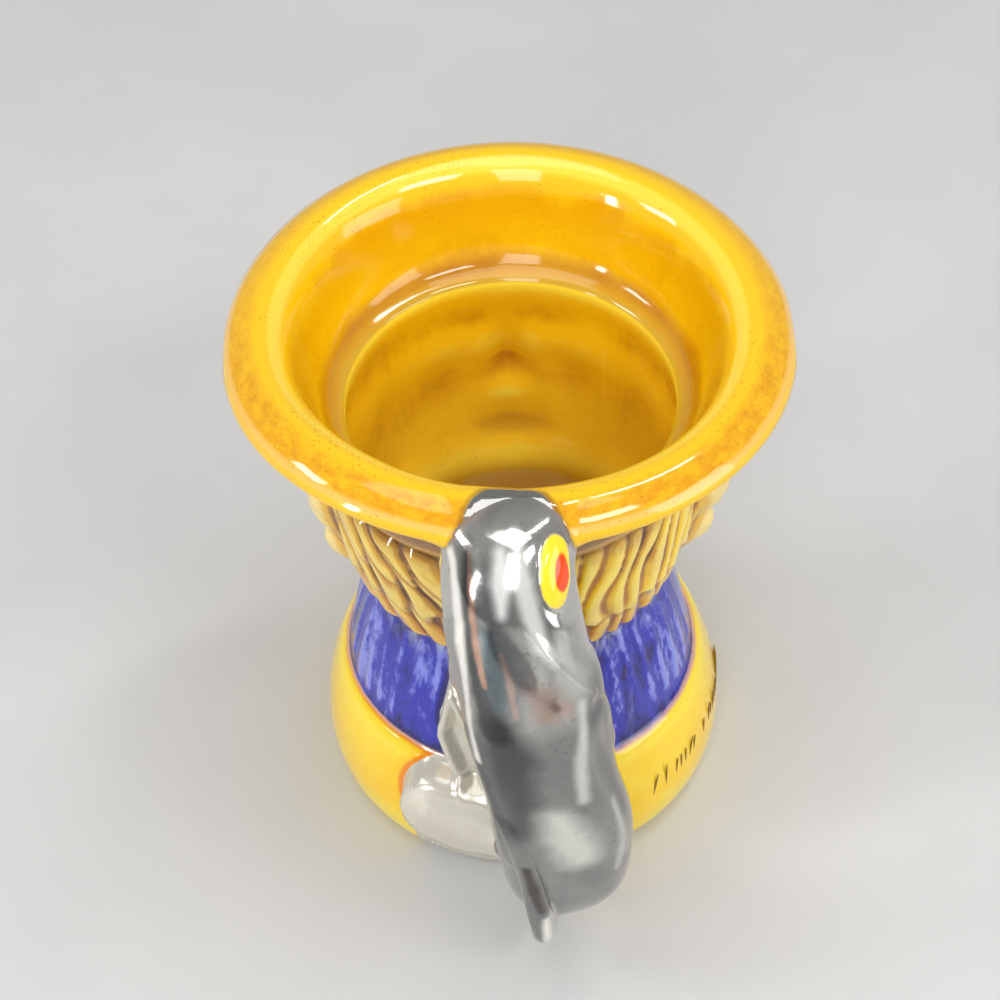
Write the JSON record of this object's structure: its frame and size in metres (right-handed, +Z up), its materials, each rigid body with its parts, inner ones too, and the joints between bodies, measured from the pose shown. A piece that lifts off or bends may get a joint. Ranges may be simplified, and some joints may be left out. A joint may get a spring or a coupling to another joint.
{
  "type": "toby jug",
  "caption": "Ceramic jug in the form of a head with a wide flared hat brim as its mouth, a ribbed collar, a round base and a fish as its handle.",
  "frame": {"origin": "middle of the flat foot, on the surface the jug stands on", "axes": "+Z up, the face looks along -Y, the fish handle is at +Y"},
  "size_m": [0.1217, 0.1476, 0.1402],
  "materials": {
    "glazed_ceramic": "glossy coloured glaze, yellow and amber with a cobalt blue collar and a silver lustred fish"
  },
  "bodies": {
    "root": {"toby_jug": "glazed_ceramic"}
  },
  "joints": []
}
